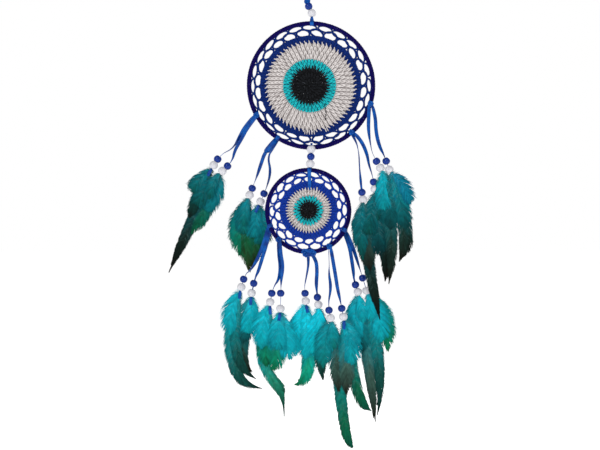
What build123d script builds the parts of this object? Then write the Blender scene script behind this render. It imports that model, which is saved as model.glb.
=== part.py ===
from build123d import *
import math
import os

# Evil eye wall hanging: two cord-wrapped hoops filled with a crocheted eye, one under the other,
# with nine ribbon tassels that carry beads and feathers. Millimetres, +Z up, the front looks to -Y.
# The origin is the inside top of the hanger loop, where a nail or hook holds the piece.

# Hoops
LARGE_RADIUS = 75.0        # outer radius of the large hoop, wrap included: a 6 inch hoop
SMALL_RADIUS = 50.5        # outer radius of the small hoop: a 4 inch hoop
TUBE_RADIUS = 2.6          # outer radius of the cord wrap round the steel ring
CORE_RADIUS = 1.1          # radius of the steel ring inside the wrap
LARGE_DROP = 165.0         # from the hanging point down to the large hoop's centre
SMALL_DROP = 146.4         # from the large hoop's centre down to the small hoop's centre
SMALL_SHIFT = -3.4         # the small hoop hangs this far to the left of the large one

# Crochet: outer radius of each round of yarn, from the pupil outwards
LARGE_ROUNDS = {"pupil": 21.5, "iris": 30.7, "white_rounds": 52.0, "blue_round": 58.6}
SMALL_ROUNDS = {"pupil": 10.6, "iris": 17.4, "white_rounds": 25.9, "blue_round": 33.1}
LARGE_EYE_SHIFT = (-1.5, -1.4)   # the eye sits a little off the hoop's centre
SMALL_EYE_SHIFT = (0.6, 1.0)
CROCHET_THICKNESS = 2.0
NET_THICKNESS = 1.2
NET_GAP = 0.1              # between the net's edge and the inside of the hoop
LARGE_LOOPS = 24           # chain loops in each of the two rows of the net
SMALL_LOOPS = 18

# Ribbon and beads
RIBBON_RADIUS = 1.0        # the 4 mm satin ribbon, gathered to a round cord
KNOT_RADIUS = 2.4
KNOT_LENGTH = 3.2
KNOT_GAP = 0.3             # between a knot and the ribbon tie on the hoop behind it
TIE_THICKNESS = 0.9        # ribbon wound round a hoop
TIE_LENGTH = 5.0
WIDE_TIE_LENGTH = 13.0     # the large knot at the bottom of the small hoop
TIE_NOTCH = 1.4            # depth of the notch in the net that leaves room for a tie
BORE_RADIUS = 1.8          # the hole through a bead
WHITE_BEAD = (5.0, 4.2)    # radius of its ball, half height between its flat ends
BLUE_BEAD = (4.5, 3.9)
PIVOT_GAP = 0.08           # running clearance of the hanger tie
LEAF_THICKNESS = 0.9       # one feather
LEAF_STEP = 1.1            # from the face of one feather to the face of the next
ARC_SHARE = 0.45           # share of the shorter run that a ribbon's bend takes up

LARGE_CENTRE = (0.0, -LARGE_DROP)
SMALL_CENTRE = (SMALL_SHIFT, -LARGE_DROP - SMALL_DROP)

os.makedirs("parts", exist_ok=True)


def save(piece, name):
    """Labels a finished piece and writes it as parts/NAME.step."""
    piece.part.label = name
    export_step(piece.part, f"parts/{name}.step")


def save_group(pieces, name):
    """Writes several pieces as one node. Pieces that touch become one solid."""
    with BuildPart() as group:
        for piece in pieces:
            add(piece)
    save(group, name)


def facing(x, z, y=0.0, up=(0, 1)):
    """A sketch plane that faces the front, with its own Y along up, given as (x, z)."""
    return Plane(origin=(x, y, z), x_dir=(up[1], 0, -up[0]), z_dir=(0, -1, 0))


def from_large(x, z):
    """A place given from the large hoop's centre, in the part's own frame."""
    return (x, z - LARGE_DROP)


def direction(start, end):
    """The unit vector from one (x, z) place to another."""
    length = math.dist(start, end)
    return ((end[0] - start[0]) / length, (end[1] - start[1]) / length)


def beyond(place, way, distance):
    return (place[0] + way[0] * distance, place[1] + way[1] * distance)


def hoop_plane(centre, angle):
    """The plane that cuts a hoop's tube square at this angle, from +X towards +Z."""
    c, s = math.cos(math.radians(angle)), math.sin(math.radians(angle))
    return Plane(origin=(centre[0], 0, centre[1]), x_dir=(c, 0, s), z_dir=(-s, 0, c))


def on_tube(centre, radius, angle):
    """The tube's centre at this angle, as (x, z)."""
    reach = radius - TUBE_RADIUS
    return (
        centre[0] + reach * math.cos(math.radians(angle)),
        centre[1] + reach * math.sin(math.radians(angle)),
    )


def bend_radii(points):
    """For each corner of a route, the largest arc that its two runs allow."""
    places = [Vector(*p) for p in points]
    radii = []
    for before, here, after in zip(places, places[1:], places[2:]):
        half_turn = math.radians((here - before).get_angle(after - here)) / 2
        shorter = min((here - before).length, (after - here).length)
        radii.append(ARC_SHARE * shorter / math.tan(half_turn))
    return radii


# ---------------------------------------------------------------- hoops and crochet

def make_hoop(size, centre, radius):
    """The steel ring and the cord wrapped round it."""
    reach = radius - TUBE_RADIUS
    turning_axis = Axis((centre[0], 0, centre[1]), (0, 1, 0))
    with BuildPart() as ring:
        with BuildSketch(hoop_plane(centre, 0)):
            with Locations((reach, 0)):
                Circle(CORE_RADIUS)
        revolve(axis=turning_axis)
    save(ring, f"{size}_hoop_ring")

    with BuildPart() as wrap:
        with BuildSketch(hoop_plane(centre, 0)):
            with Locations((reach, 0)):
                Circle(TUBE_RADIUS)
                Circle(CORE_RADIUS, mode=Mode.SUBTRACT)
        revolve(axis=turning_axis)
    save(wrap, f"{size}_hoop_wrap")


def make_eye(size, centre, shift, rounds):
    """The flat rounds of crochet, each one closed ring of yarn round the one before."""
    inner = 0.0
    for name, outer in rounds.items():
        with BuildPart() as yarn_round:
            with BuildSketch(facing(centre[0] + shift[0], centre[1] + shift[1])):
                Circle(outer)
                if inner:
                    Circle(inner, mode=Mode.SUBTRACT)
            extrude(amount=CROCHET_THICKNESS / 2, both=True)
        save(yarn_round, f"{size}_{name}")
        inner = outer


def make_net(size, centre, shift, radius, inner, loops, ties):
    """Two staggered rows of chain loops between the eye and the hoop, notched at each tie."""
    outer = radius - 2 * TUBE_RADIUS - NET_GAP
    row_width = (outer - inner) / 2
    hole = min(0.36 * row_width, 0.36 * math.tau * inner / loops)
    with BuildPart() as net:
        with BuildSketch(facing(*centre)):
            Circle(outer)
            with Locations(shift):
                Circle(inner, mode=Mode.SUBTRACT)
            for row, stagger in ((0.55, 0.0), (1.5, 0.5)):
                middle = inner + row * row_width
                with Locations((shift[0] * (1 - row / 2), shift[1] * (1 - row / 2))):
                    with PolarLocations(middle, loops, start_angle=stagger * 360 / loops):
                        Circle(hole, mode=Mode.SUBTRACT)
            for angle, length in ties:
                with PolarLocations(outer, 1, start_angle=angle):
                    Rectangle(2 * TIE_NOTCH, length + TIE_NOTCH, mode=Mode.SUBTRACT)
        extrude(amount=NET_THICKNESS / 2, both=True)
    save(net, f"{size}_net")


def make_tie(centre, radius, angle, length):
    """One ribbon tie: a short sleeve wound round the tube of the hoop."""
    spread = math.degrees(length / (radius - TUBE_RADIUS))
    with BuildPart() as tie:
        with BuildSketch(hoop_plane(centre, angle + spread / 2)):
            with Locations((radius - TUBE_RADIUS, 0)):
                Circle(TUBE_RADIUS + TIE_THICKNESS)
                Circle(TUBE_RADIUS, mode=Mode.SUBTRACT)
        revolve(axis=Axis((centre[0], 0, centre[1]), (0, 1, 0)), revolution_arc=spread)
    return tie.part


# ---------------------------------------------------------------- beads, ribbons and feathers

def make_bead(place, depth, way, size):
    """One round bead, bored along way and flattened at both ends of its hole."""
    radius, half_height = size
    with BuildPart() as bead:
        with BuildSketch(facing(*place, y=depth, up=way)):
            Circle(radius)
            Rectangle(2 * radius, 2 * half_height, mode=Mode.INTERSECT)
            with Locations((BORE_RADIUS - radius, 0)):
                Rectangle(2 * radius, 2 * radius, mode=Mode.SUBTRACT)
        revolve(axis=Axis((place[0], depth, place[1]), (way[0], 0, way[1])))
    return bead.part


def make_ribbon(points, name):
    """A gathered ribbon, swept round along its route."""
    radii = bend_radii(points)
    with BuildPart() as ribbon:
        with BuildLine() as path:
            FilletPolyline(*points, radius=radii)
        with BuildSketch(Plane(origin=path.line @ 0, z_dir=path.line % 0)):
            Circle(RIBBON_RADIUS)
        sweep(path=path.line)
    length = sum(edge.length for edge in path.edges())
    full = math.pi * RIBBON_RADIUS**2 * length
    print(
        f"{name}: length {length:.1f}, volume {ribbon.part.volume / full:.3f} of its section"
        f" times its length, bend radii {[round(r, 1) for r in radii]}"
    )
    return ribbon.part


def make_knot(place, depth, length):
    """A round ribbon knot that starts at this depth and reaches away from the hoop."""
    with BuildPart() as knot:
        with BuildSketch(facing(*place, y=depth)):
            Circle(KNOT_RADIUS)
        extrude(amount=length)
    return knot.part


def make_leaf(root, tip, width, bow, depth):
    """One feather as a flat leaf between two arcs. bow moves its middle towards +X."""
    way = direction(root, tip)
    side = (-way[1], way[0])           # a quarter turn from the quill line, towards +X
    middle = ((root[0] + tip[0]) / 2, (root[1] + tip[1]) / 2)
    with BuildPart() as leaf:
        with BuildSketch(facing(0, 0, y=depth)):
            with BuildLine():
                ThreePointArc(root, beyond(middle, side, bow - width / 2), tip)
                ThreePointArc(tip, beyond(middle, side, bow + width / 2), root)
            make_face()
        extrude(amount=LEAF_THICKNESS)
    return leaf.part


# Every tassel: its hoop, the angle of its tie there, how far behind (+) or in front (-) of the
# hoops its beads and its feathers hang, and its two tails. A tail has the bends of its ribbon,
# its blue bead, its white bead and the ribbon's end, as (x, z) from the large hoop's centre, and
# its feather: tip, width and bow.
TASSELS = {
    "outer_left": {
        "hoop": "large", "angle": 208.7, "bead_depth": -15.0, "feather_depth": -11.8,
        "tails": [
            {"bends": [(-75.5, -46.5), (-83.0, -60.0), (-91.0, -74.5)],
             "blue": (-108.0, -86.6), "white": (-112.6, -93.6), "end": (-119.5, -106.0),
             "feather": ((-164.2, -216.3), 27, 3)},
            {"bends": [(-74.0, -49.5), (-80.5, -62.5), (-88.5, -76.0)],
             "blue": (-96.6, -94.6), "white": (-102.6, -100.3), "end": (-112.0, -107.0),
             "feather": ((-143.0, -181.0), 25, 4)},
        ]},
    "inner_left": {
        "hoop": "large", "angle": 237.3, "bead_depth": 8.5, "feather_depth": 13.2,
        "tails": [
            {"bends": [(-46.5, -70.0), (-54.5, -78.5), (-59.0, -92.5)],
             "blue": (-68.9, -119.7), "white": (-71.9, -127.5), "end": (-75.0, -140.5),
             "feather": ((-76.0, -217.0), 29, -8)},
            {"bends": [(-44.5, -72.0), (-51.0, -83.5), (-47.1, -99.8)],
             "blue": (-55.0, -126.0), "white": (-59.1, -135.3), "end": (-65.0, -148.0),
             "feather": ((-67.0, -211.0), 27, 3)},
        ]},
    "inner_right": {
        "hoop": "large", "angle": 310.8, "bead_depth": -9.5, "feather_depth": -11.1,
        "tails": [
            {"bends": [(52.0, -65.0), (55.3, -78.5), (55.8, -94.5)],
             "blue": (58.9, -124.8), "white": (60.2, -133.0), "end": (61.2, -147.0),
             "feather": ((80.1, -270.5), 26, -9)},
            {"bends": [(57.0, -62.5), (64.6, -79.0), (67.0, -94.0)],
             "blue": (72.4, -112.8), "white": (73.8, -120.9), "end": (76.5, -134.0),
             "feather": ((86.0, -226.0), 27, 2)},
        ]},
    "outer_right": {
        "hoop": "large", "angle": 342.6, "bead_depth": -13.5, "feather_depth": -15.1,
        "tails": [
            {"bends": [(66.8, -36.0), (66.2, -53.0), (69.0, -73.0)],
             "blue": (75.6, -89.0), "white": (80.0, -96.6), "end": (87.0, -107.0),
             "feather": ((89.1, -229.6), 28, 5)},
            {"bends": [(74.6, -36.0), (75.0, -54.5), (79.1, -72.3)],
             "blue": (86.8, -88.8), "white": (90.4, -98.5), "end": (96.0, -110.5),
             "feather": ((102.3, -203.5), 30, 7)},
        ]},
    "low_far_left": {
        "hoop": "small", "angle": 200.8, "bead_depth": 5.5, "feather_depth": 8.8,
        "tails": [
            {"bends": [(-54.5, -182.0), (-62.5, -202.5), (-71.0, -216.0)],
             "blue": (-78.8, -226.1), "white": (-81.5, -235.3), "end": (-84.0, -249.0),
             "feather": ((-62.0, -354.5), 25, -17)},
            {"bends": [(-51.5, -184.0), (-57.0, -201.0), (-61.8, -217.0)],
             "blue": (-67.0, -231.0), "white": (-69.4, -242.2), "end": (-70.5, -256.5),
             "feather": ((-72.0, -331.0), 26, -5)},
        ]},
    "low_left": {
        "hoop": "small", "angle": 224.3, "bead_depth": -5.5, "feather_depth": -2.2,
        "tails": [
            {"bends": [(-38.6, -194.5), (-35.6, -211.0), (-37.5, -226.0)],
             "blue": (-45.7, -242.0), "white": (-47.5, -252.2), "end": (-47.0, -266.5),
             "feather": ((-31.4, -385.0), 21, -14)},
            {"bends": [(-35.8, -194.0), (-32.6, -210.0), (-34.8, -225.0)],
             "blue": (-35.3, -242.0), "white": (-35.6, -259.8), "end": (-37.5, -274.0),
             "feather": ((-43.0, -333.0), 34, 8)},
        ]},
    "low_middle": {
        "hoop": "small", "angle": 271.0, "bead_depth": 5.5, "feather_depth": 11.1,
        "tails": [
            {"bends": [(-2.7, -206.5), (-5.2, -221.0), (-7.3, -231.5)],
             "blue": (-7.0, -242.6), "white": (-6.2, -251.6), "end": (-4.0, -265.5),
             "feather": ((-17.6, -349.6), 25, 6)},
            {"bends": [(5.6, -202.0), (7.2, -216.0), (6.0, -231.0)],
             "blue": (7.5, -247.2), "white": (8.6, -255.8), "end": (8.0, -269.5),
             "feather": ((14.0, -343.0), 24, 3)},
        ]},
    "low_right": {
        "hoop": "small", "angle": 300.8, "bead_depth": -5.5, "feather_depth": 0.0,
        "tails": [
            {"bends": [(21.3, -206.0), (20.3, -219.0), (23.2, -235.5)],
             "blue": (20.8, -261.7), "white": (22.7, -270.7), "end": (25.5, -284.0),
             "feather": ((47.6, -420.6), 23, -4)},
            {"bends": [(25.4, -204.0), (28.3, -221.0), (30.8, -238.0)],
             "blue": (35.6, -259.6), "white": (37.4, -269.3), "end": (38.6, -284.0),
             "feather": ((69.1, -378.4), 27, -7)},
        ]},
    "low_far_right": {
        "hoop": "small", "angle": 332.0, "bead_depth": 5.5, "feather_depth": 8.8,
        "tails": [
            {"bends": [(44.5, -185.0), (47.8, -204.5), (49.8, -220.0)],
             "blue": (52.0, -232.6), "white": (54.7, -241.0), "end": (58.5, -254.0),
             "feather": ((74.9, -391.8), 26, 4)},
            {"bends": [(47.0, -183.5), (52.0, -198.0), (56.0, -211.5)],
             "blue": (60.4, -224.7), "white": (64.9, -239.5), "end": (67.5, -253.5),
             "feather": ((88.0, -326.0), 29, 10)},
        ]},
}
BEAD_LEAD = 7.0            # straight ribbon above a blue bead's centre and below a white one's
QUILL_START = 6.0          # from a white bead's centre to the top of its feather
TAIL_SPREAD = 1.3          # the two ribbons of a tassel leave its knot this far off its middle

HOOPS = {
    "large": (LARGE_CENTRE, LARGE_RADIUS),
    "small": (SMALL_CENTRE, SMALL_RADIUS),
}


def tail_points(tail, knot, knot_depth, bead_depth):
    """The ribbon's route from the knot through both beads, drifting to the beads' depth."""
    blue, white = from_large(*tail["blue"]), from_large(*tail["white"])
    way = direction(blue, white)
    hanging = [knot] + [from_large(*p) for p in tail["bends"]]
    threaded = [beyond(blue, way, -BEAD_LEAD), beyond(white, way, BEAD_LEAD)]
    threaded.append(from_large(*tail["end"]))
    points = []
    for number, (x, z) in enumerate(hanging):
        share = number / len(hanging)
        points.append((x, knot_depth + (bead_depth - knot_depth) * share, z))
    return points + [(x, bead_depth, z) for x, z in threaded]


def make_tassel(name, tassel):
    centre, radius = HOOPS[tassel["hoop"]]
    knot = on_tube(centre, radius, tassel["angle"])
    depth = tassel["bead_depth"]
    side = math.copysign(1, depth)
    knot_near = side * (TUBE_RADIUS + TIE_THICKNESS + KNOT_GAP)
    knot_depth = knot_near + side * KNOT_LENGTH / 2

    ribbons = [make_knot(knot, knot_near, -side * KNOT_LENGTH)]
    blue_beads, white_beads, feathers = [], [], []
    for number, tail in enumerate(tassel["tails"]):
        way = direction(tail["blue"], tail["white"])
        start = (knot[0] + (2 * number - 1) * TAIL_SPREAD, knot[1])
        ribbons.append(make_ribbon(tail_points(tail, start, knot_depth, depth), name))
        blue_beads.append(make_bead(from_large(*tail["blue"]), depth, way, BLUE_BEAD))
        white_beads.append(make_bead(from_large(*tail["white"]), depth, way, WHITE_BEAD))
        root = from_large(*beyond(tail["white"], way, QUILL_START))
        tip, width, bow = tail["feather"]
        face = tassel["feather_depth"] - number * LEAF_STEP
        feathers.append(make_leaf(root, from_large(*tip), width, bow, face))
    save_group(ribbons, f"{name}_ribbon")
    save_group(blue_beads, f"{name}_blue_beads")
    save_group(white_beads, f"{name}_white_beads")
    save_group(feathers, f"{name}_feathers")


# ---------------------------------------------------------------- hanger

HANGER_X = 1.0                          # the hanger ties on a little right of the hoop's top
HANGER_ANGLE = math.degrees(math.acos(HANGER_X / (LARGE_RADIUS - TUBE_RADIUS)))
HANGER_WHITE = (HANGER_X, 84.4)         # (x, z) from the large hoop's centre
HANGER_BLUE = (-2.7, 92.3)
HANGER_KNOT = (-4.6, 98.5)
TIE_NECK_LENGTH = 5.5                   # of the tie's neck that runs up into the white bead
TIE_NECK_GAP = 0.1                      # running clearance of the neck in the bead's hole
SWIVEL_GAP = 0.6                        # between the neck and the ribbon above it
# The loop over the nail, as (x, z) from the hanging point
HANGER_LOOP = [
    (-5.6, -66.0), (-9.6, -52.0), (-11.0, -34.0), (-9.6, -14.0), (-6.0, RIBBON_RADIUS),
    (6.0, RIBBON_RADIUS), (9.8, -13.0), (10.6, -33.0), (5.0, -50.0), (-2.9, -64.5),
]


def make_hanger():
    white, blue = from_large(*HANGER_WHITE), from_large(*HANGER_BLUE)
    knot = from_large(*HANGER_KNOT)
    hoop_top = -LARGE_DROP + math.sqrt((LARGE_RADIUS - TUBE_RADIUS) ** 2 - HANGER_X**2)
    neck_top = white[1] - WHITE_BEAD[1] + TIE_NECK_LENGTH / 2

    with BuildPart() as tie:
        with BuildSketch(Plane(origin=(HANGER_X, 0, hoop_top), z_dir=(1, 0, 0))):
            Circle(TUBE_RADIUS + TIE_THICKNESS)
        extrude(amount=TIE_LENGTH / 2, both=True)
        with BuildSketch(Plane(origin=(HANGER_X, 0, hoop_top))):
            Circle(BORE_RADIUS - TIE_NECK_GAP)
        extrude(amount=neck_top - hoop_top)
        with BuildSketch(Plane(origin=(HANGER_X, 0, hoop_top), z_dir=(1, 0, 0))):
            Circle(TUBE_RADIUS + PIVOT_GAP)
        extrude(amount=TIE_LENGTH, both=True, mode=Mode.SUBTRACT)
    save(tie, "hanger_tie")

    save_group([make_bead(white, 0, (0, 1), WHITE_BEAD)], "hanger_white_bead")
    save_group([make_bead(blue, 0, direction(blue, knot), BLUE_BEAD)], "hanger_blue_bead")

    lower = [(HANGER_X, 0, neck_top + SWIVEL_GAP), (HANGER_X - 0.6, 0, white[1] + 4.2)]
    lower += [(blue[0], 0, blue[1]), (knot[0] - 0.3, 0, knot[1])]
    ribbons = [
        make_ribbon(lower, "hanger lower end"),
        make_ribbon([(x, 0, z) for x, z in HANGER_LOOP], "hanger loop"),
        make_knot(knot, KNOT_LENGTH / 2, KNOT_LENGTH),
    ]
    save_group(ribbons, "hanger_ribbon")


# ---------------------------------------------------------------- link between the hoops

# The three beads between the hoops, as (x, z) from the large hoop's centre. They hang just in
# front of the hoops.
LINK_BEADS = {
    "upper_white_bead": ((0.0, -74.9), WHITE_BEAD),
    "blue_bead": ((-0.3, -83.4), BLUE_BEAD),
    "lower_white_bead": ((-0.9, -91.6), WHITE_BEAD),
}
LINK_DEPTH = -8.7
LINK_RIBBON = [(0.4, -67.6), (0.0, -74.9), (-0.4, -83.4), (-0.9, -91.3), (-1.1, -96.0)]
FRONT_RIBBON = (4.0, 20.0, 0.5)         # width, length and thickness of the loose front end
FRONT_RIBBON_TOP = (-2.0, -101.5)       # its top, as (x, z) from the large hoop's centre
LINK_TIE_ANGLE = 270.0                  # on the large hoop
SMALL_TOP_ANGLE = 88.0                  # on the small hoop


def make_link():
    for name, (place, size) in LINK_BEADS.items():
        save_group([make_bead(from_large(*place), LINK_DEPTH, (0, 1), size)], f"link_{name}")
    points = [(x, LINK_DEPTH, z - LARGE_DROP) for x, z in LINK_RIBBON]
    save_group([make_ribbon(points, "link")], "link_ribbon")


def make_front_end():
    """The ribbon's loose end, which lies on the front of the small hoop's net."""
    width, length, thickness = FRONT_RIBBON
    x, z = from_large(*FRONT_RIBBON_TOP)
    with BuildPart() as end:
        with BuildSketch(facing(x, z - length / 2, y=-CROCHET_THICKNESS / 2)):
            Rectangle(width, length)
        extrude(amount=thickness)
    return end.part


def tie_places(size, link_angle):
    """(angle, length) of each ribbon tie on a hoop: its tassels' and its link's."""
    places = [(link_angle, TIE_LENGTH)]
    for name, tassel in TASSELS.items():
        if tassel["hoop"] == size:
            length = WIDE_TIE_LENGTH if name == "low_middle" else TIE_LENGTH
            places.append((tassel["angle"], length))
    return places


make_hanger()
make_link()
for hoop_size, eye_shift, eye_rounds, net_loops, link_angle in (
    ("large", LARGE_EYE_SHIFT, LARGE_ROUNDS, LARGE_LOOPS, LINK_TIE_ANGLE),
    ("small", SMALL_EYE_SHIFT, SMALL_ROUNDS, SMALL_LOOPS, SMALL_TOP_ANGLE),
):
    hoop_centre, hoop_radius = HOOPS[hoop_size]
    make_hoop(hoop_size, hoop_centre, hoop_radius)
    make_eye(hoop_size, hoop_centre, eye_shift, eye_rounds)
    tie_list = tie_places(hoop_size, link_angle)
    notches = tie_list + [(HANGER_ANGLE, TIE_LENGTH)] * (hoop_size == "large")
    blue_edge = eye_rounds["blue_round"]
    make_net(hoop_size, hoop_centre, eye_shift, hoop_radius, blue_edge, net_loops, notches)
    sleeves = [make_tie(hoop_centre, hoop_radius, *tie) for tie in tie_list]
    if hoop_size == "small":
        sleeves.append(make_front_end())
    save_group(sleeves, f"{hoop_size}_ties")
for tassel_name, tassel_facts in TASSELS.items():
    make_tassel(tassel_name, tassel_facts)
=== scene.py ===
import math
from collections import namedtuple

import bpy
import numpy as np
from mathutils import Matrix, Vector


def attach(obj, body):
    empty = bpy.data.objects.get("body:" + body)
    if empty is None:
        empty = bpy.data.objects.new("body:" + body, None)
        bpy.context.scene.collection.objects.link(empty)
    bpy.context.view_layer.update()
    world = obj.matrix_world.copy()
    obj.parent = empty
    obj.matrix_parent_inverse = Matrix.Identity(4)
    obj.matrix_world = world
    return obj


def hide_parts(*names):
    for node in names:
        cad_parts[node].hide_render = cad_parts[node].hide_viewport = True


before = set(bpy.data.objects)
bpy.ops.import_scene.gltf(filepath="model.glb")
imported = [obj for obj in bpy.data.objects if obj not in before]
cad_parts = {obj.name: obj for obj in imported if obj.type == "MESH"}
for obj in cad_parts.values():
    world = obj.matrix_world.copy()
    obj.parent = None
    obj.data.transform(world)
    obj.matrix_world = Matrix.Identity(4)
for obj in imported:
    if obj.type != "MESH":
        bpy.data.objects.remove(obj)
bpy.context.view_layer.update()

# Evil eye wall hanging: two wrapped hoops with crocheted eyes, ribbon tassels, beads and feathers.
# Sizes and places are millimetres in the frame of the CAD model. An (x, z) place of a tassel is
# given from the centre of the large hoop. The front looks to -Y.
MM = 0.001
LARGE_RADIUS, SMALL_RADIUS = 75.0, 50.5
TUBE_RADIUS = 2.6                     # outer radius of the wrap round the steel ring
LARGE_DROP = 165.0                    # from the hanging point to the large hoop's centre
LARGE_CENTRE = (0.0, -LARGE_DROP)
SMALL_CENTRE = (-3.4, -311.4)
HOOPS = {"large": (LARGE_CENTRE, LARGE_RADIUS), "small": (SMALL_CENTRE, SMALL_RADIUS)}
TIE_THICKNESS = 0.9
KNOT_GAP, KNOT_LENGTH = 0.3, 3.2
BEAD_LEAD = 7.0                       # straight ribbon beside a bead's centre
TAIL_SPREAD = 1.3                     # the two ribbons of a tassel start this far off its middle
RIBBON_WIDTH, RIBBON_THICKNESS = 4.3, 0.22
GATHERED_WIDTH = 2.6                  # of the ribbon at a knot and in a bead
LOOP_END_WIDTH = 2.8                  # of the hanger's ribbon at its knot
TIE_LENGTH, WIDE_TIE_LENGTH = 5.0, 13.0
PLY_PITCH = 2.6                       # length of yarn in one turn of its two plies


# ---- shapes as arrays of points

def unit(vectors):
    return vectors / np.maximum(np.linalg.norm(vectors, axis=-1, keepdims=True), 1e-9)


def random_for(name):
    """A random generator of the piece's own, the same at every run."""
    return np.random.default_rng([ord(letter) for letter in name])


def smooth(values, low, high):
    """0 below low, 1 above high, and a smooth step between them."""
    t = np.clip((np.asarray(values, float) - low) / (high - low), 0, 1)
    return t * t * (3 - 2 * t)


def grid_quads(rows, columns, close_rows=False, close_columns=False):
    r = np.arange(rows if close_rows else rows - 1)
    c = np.arange(columns if close_columns else columns - 1)
    r, c = np.meshgrid(r, c, indexing="ij")
    r2, c2 = (r + 1) % rows, (c + 1) % columns
    corners = [r * columns + c, r * columns + c2, r2 * columns + c2, r2 * columns + c]
    return np.stack(corners, -1).reshape(-1, 4)


def repeated(quads, times, step):
    """The same faces for each of several equal runs of points."""
    return (quads[None] + np.arange(times)[:, None, None] * step).reshape(-1, 4)


class Shape:
    """The points, faces and per-point values of one piece, gathered before its mesh is made."""

    def __init__(self):
        self.points, self.quads, self.values, self.count = [], [], [], 0

    def add(self, points, quads, **values):
        points = points.reshape(-1, 3)
        self.points.append(points)
        self.quads.append(quads + self.count)
        self.values.append({key: value.reshape(len(points), -1) for key, value in values.items()})
        self.count += len(points)

    def gathered(self, key):
        """A value of all points, with zeros where a part of the shape lacks it."""
        width = max(values[key].shape[1] for values in self.values if key in values)
        parts = [values.get(key, np.zeros((len(points), width)))
                 for points, values in zip(self.points, self.values)]
        return np.concatenate(parts).astype(np.float32)


def make_piece(shape, name, look, body, *replaced):
    """Makes the mesh object of a shape and lets it ride on its body, in place of these nodes.
    look is its material and the name of a slot, which is not used."""
    material, slot = look
    points, quads = np.concatenate(shape.points) * MM, np.concatenate(shape.quads)
    mesh = bpy.data.meshes.new(name)
    mesh.vertices.add(len(points))
    mesh.vertices.foreach_set("co", points.astype(np.float32).ravel())
    mesh.loops.add(quads.size)
    mesh.loops.foreach_set("vertex_index", quads.astype(np.int32).ravel())
    mesh.polygons.add(len(quads))
    mesh.polygons.foreach_set("loop_start", np.arange(0, quads.size, 4, dtype=np.int32))
    mesh.update(calc_edges=True)
    mesh.shade_smooth()
    for key in sorted({key for values in shape.values for key in values}):
        value = shape.gathered(key)
        kind, field = ("FLOAT", "value") if value.shape[1] == 1 else ("FLOAT_COLOR", "color")
        mesh.attributes.new(key, kind, "POINT").data.foreach_set(field, value.ravel())
    mesh.materials.append(material)
    piece = bpy.data.objects.new(name, mesh)
    bpy.context.collection.objects.link(piece)
    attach(piece, body)
    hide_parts(*replaced)
    return piece


def tubes(shape, paths, radius, sides=8, closed=False, reference=(0, 1, 0), ply=0.12, shade_level=1.0):
    """Adds round yarn along many paths at once, with painted shade: its flanks, the grooves between
    its plies and yarn that lies deep in the piece are drawn darker.
    """
    count, length = paths.shape[:2]
    if closed:
        ways = unit(np.roll(paths, -1, axis=1) - np.roll(paths, 1, axis=1))
    else:
        ways = unit(np.gradient(paths, axis=1))
    side = unit(np.cross(ways, np.broadcast_to(reference, paths.shape)))
    up = np.cross(side, ways)
    steps = np.linalg.norm(np.diff(paths, axis=1), axis=2)
    run = np.concatenate([np.zeros((count, 1)), np.cumsum(steps, axis=1)], axis=1)
    turn = np.arange(sides) * math.tau / sides
    lobes = 1 + ply * np.cos(2 * turn - run[..., None] * math.tau / PLY_PITCH)
    reach = np.broadcast_to(radius, (count, length))[..., None] * lobes
    ring = np.cos(turn)[:, None] * side[:, :, None] + np.sin(turn)[:, None] * up[:, :, None]
    quads = grid_quads(length, sides, close_rows=closed, close_columns=True)
    if not closed:
        fan = np.array([[0, i, i + 1, i + 2] for i in range(1, sides - 1, 2)])
        quads = np.concatenate([quads, fan[:, ::-1], fan + (length - 1) * sides])
    # Painted shade: the yarn's flanks and the grooves between its plies are darker than its front and
    # back.
    shade = np.broadcast_to(shade_level, (count, length))[..., None]
    shade = shade * (0.5 + 0.5 * np.abs(ring[..., 1])) * (0.75 + 0.25 * lobes)
    shape.add(paths[:, :, None] + ring * reach[..., None],
              repeated(quads, count, length * sides), shade=shade)


STRIP_COLUMNS = 7


def strip(shape, path, across, width, thickness=RIBBON_THICKNESS, curl=0.12):
    """Adds a flat ribbon along a path. across points to one of its edges at each point."""
    ways = unit(np.gradient(path, axis=0))
    across = unit(across - np.sum(across * ways, axis=1, keepdims=True) * ways)
    out = np.cross(across, ways)
    width = np.broadcast_to(width, len(path))[:, None]
    over = np.linspace(-0.5, 0.5, STRIP_COLUMNS)
    lift = curl * width * (4 * over**2 - 0.5)
    middle = path[:, None] + across[:, None] * (over * width)[..., None]
    middle = middle + out[:, None] * lift[..., None]
    half = out[:, None] * thickness / 2
    around = np.concatenate([middle + half, (middle - half)[:, ::-1]], axis=1)
    ring = 2 * STRIP_COLUMNS
    quads = grid_quads(len(path), ring, close_columns=True)
    cap = np.array([[i, ring - 1 - i, ring - 2 - i, i + 1] for i in range(STRIP_COLUMNS - 1)])
    quads = np.concatenate([quads, cap, cap[:, ::-1] + (len(path) - 1) * ring])
    steps = np.linalg.norm(np.diff(path, axis=0), axis=1)
    run = np.concatenate([[0], np.cumsum(steps)])[:, None] + np.zeros(ring)
    edge = np.concatenate([over, over[::-1]]) * width
    shape.add(around, quads, along=run, across=edge)


# ---- materials

def colour(code):
    """A linear colour from its usual hexadecimal code."""
    parts = [int(code[i:i + 2], 16) / 255 for i in (1, 3, 5)]
    linear = [p / 12.92 if p <= 0.04045 else ((p + 0.055) / 1.055) ** 2.4 for p in parts]
    return (*linear, 1.0)


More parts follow.
